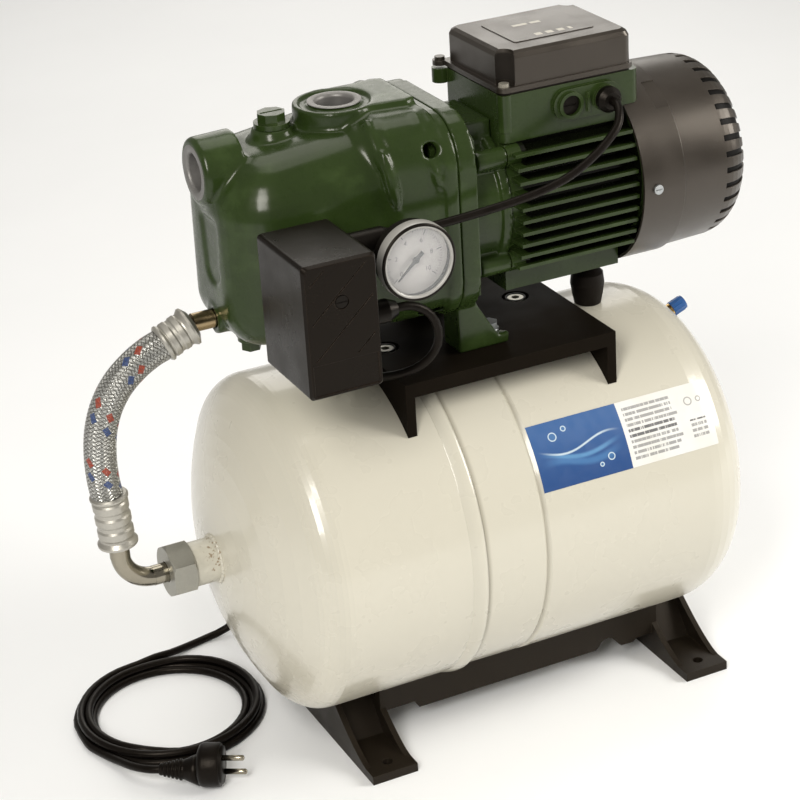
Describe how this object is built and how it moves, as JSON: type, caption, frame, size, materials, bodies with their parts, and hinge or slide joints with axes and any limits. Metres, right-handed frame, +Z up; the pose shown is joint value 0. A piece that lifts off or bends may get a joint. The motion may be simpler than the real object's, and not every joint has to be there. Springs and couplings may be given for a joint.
{
  "type": "booster pump set",
  "caption": "Self-priming jet pump with motor, pressure switch and gauge on a platform over a horizontal diaphragm pressure tank, joined to it by a braided hose.",
  "frame": {"origin": "centre of the four foot holes, on the floor under the feet", "axes": "+X along the tank and the shaft towards the motor's fan, -Y towards the gauge and the switch, +Z up"},
  "size_m": [0.5829, 0.3489, 0.5776],
  "materials": {
    "cream_paint": "gloss",
    "liner": "matte",
    "rubber": "matte",
    "zinc": "satin",
    "brass": "satin",
    "blue_plastic": "gloss",
    "black_plastic": "satin",
    "green_paint": "gloss",
    "pale_plastic": "satin",
    "ceramic": "gloss",
    "carbon": "satin",
    "steel": "satin",
    "copper": "satin",
    "cover_plastic": "semi gloss",
    "white_dial": "semi gloss",
    "black_paint": "satin",
    "clear": "clear",
    "braid": "woven",
    "black_rubber": "satin"
  },
  "bodies": {
    "set": {"tank_front_shell": "cream_paint", "tank_rear_shell": "cream_paint", "tank_water_liner": "liner", "tank_diaphragm": "rubber", "tank_clench_ring": "zinc", "water_connection": "cream_paint", "air_valve": "brass", "base_cradle": "black_plastic", "pump_platform": "black_plastic", "platform_screws": "zinc", "pump_body": "green_paint", "flange_gasket": "rubber", "ejector_nozzle": "pale_plastic", "ejector_venturi": "black_plastic", "diffuser": "pale_plastic", "seal_stationary": "ceramic", "motor_bracket": "green_paint", "flange_bolts": "green_paint", "bracket_feet_bolts": "zinc", "motor_frame": "green_paint", "stator_core": "steel", "stator_windings": "copper", "bearings": "steel", "rear_end_shield": "green_paint", "fan_cover": "cover_plastic", "fan_cover_screws": "zinc", "lid_gasket": "rubber", "capacitor": "pale_plastic", "terminal_block": "pale_plastic", "cable_entry_fittings": "black_plastic", "motor_rubber_foot": "rubber", "switch_base": "steel", "switch_mechanism": "steel", "switch_glands": "black_plastic", "switch_nipple": "brass", "gauge_case": "black_plastic", "gauge_dial": "white_dial", "gauge_window": "clear", "hose_elbow": "zinc", "hose_ferrules": "zinc", "hose_braid": "braid", "hose_tail": "brass", "mains_plug": "black_rubber", "motor_cable": "black_rubber", "mains_lead": "black_rubber"},
    "rotor": {"motor_shaft": "steel", "rotor_core": "steel", "cooling_fan": "black_plastic", "impeller": "pale_plastic", "impeller_nut": "brass", "seal_rotating": "carbon"},
    "pointer": {"gauge_pointer": "black_paint"},
    "contact_lever": {"switch_lever": "brass"},
    "priming_plug": {"priming_plug": "green_paint"},
    "drain_plug": {"drain_plug": "green_paint"},
    "switch_cover": {"switch_cover": "cover_plastic", "switch_cover_screw": "zinc"},
    "union_nut": {"union_nut": "zinc"},
    "valve_cap": {"air_valve_cap": "blue_plastic"},
    "terminal_lid": {"terminal_lid": "cover_plastic"}
  },
  "joints": [
    {"name": "rotor_spin", "type": "hinge", "parent": "set", "child": "rotor", "pos_m": [0.05, 0, 0.451], "axis": [1, 0, 0], "continuous": true},
    {"name": "gauge_pointer_turn", "type": "hinge", "parent": "set", "child": "pointer", "pos_m": [-0.1135, -0.124, 0.459], "axis": [0, 1, 0], "range_deg": [0, 264]},
    {"name": "contact_lever_tilt", "type": "hinge", "parent": "set", "child": "contact_lever", "pos_m": [-0.206, -0.118, 0.404], "axis": [-1, 0, 0], "range_deg": [0, 1.7], "stiffness_Nm_per_rad": 0.2, "springref_deg": -5.73},
    {"name": "priming_plug_out", "type": "slide", "parent": "set", "child": "priming_plug", "axis": [0, 0, 1], "range_m": [0, 0.03]},
    {"name": "drain_plug_out", "type": "slide", "parent": "set", "child": "drain_plug", "axis": [0, 0, -1], "range_m": [0, 0.018]},
    {"name": "switch_cover_off", "type": "slide", "parent": "set", "child": "switch_cover", "axis": [0, -1, 0], "range_m": [0, 0.095]},
    {"name": "union_nut_turn", "type": "hinge", "parent": "set", "child": "union_nut", "pos_m": [-0.28, 0, 0.187], "axis": [1, 0, 0], "continuous": true},
    {"name": "valve_cap_off", "type": "slide", "parent": "set", "child": "valve_cap", "axis": [0.9336, 0, 0.3584], "range_m": [0, 0.02]},
    {"name": "terminal_lid_off", "type": "slide", "parent": "set", "child": "terminal_lid", "axis": [0, 0, 1], "range_m": [0, 0.05]}
  ]
}
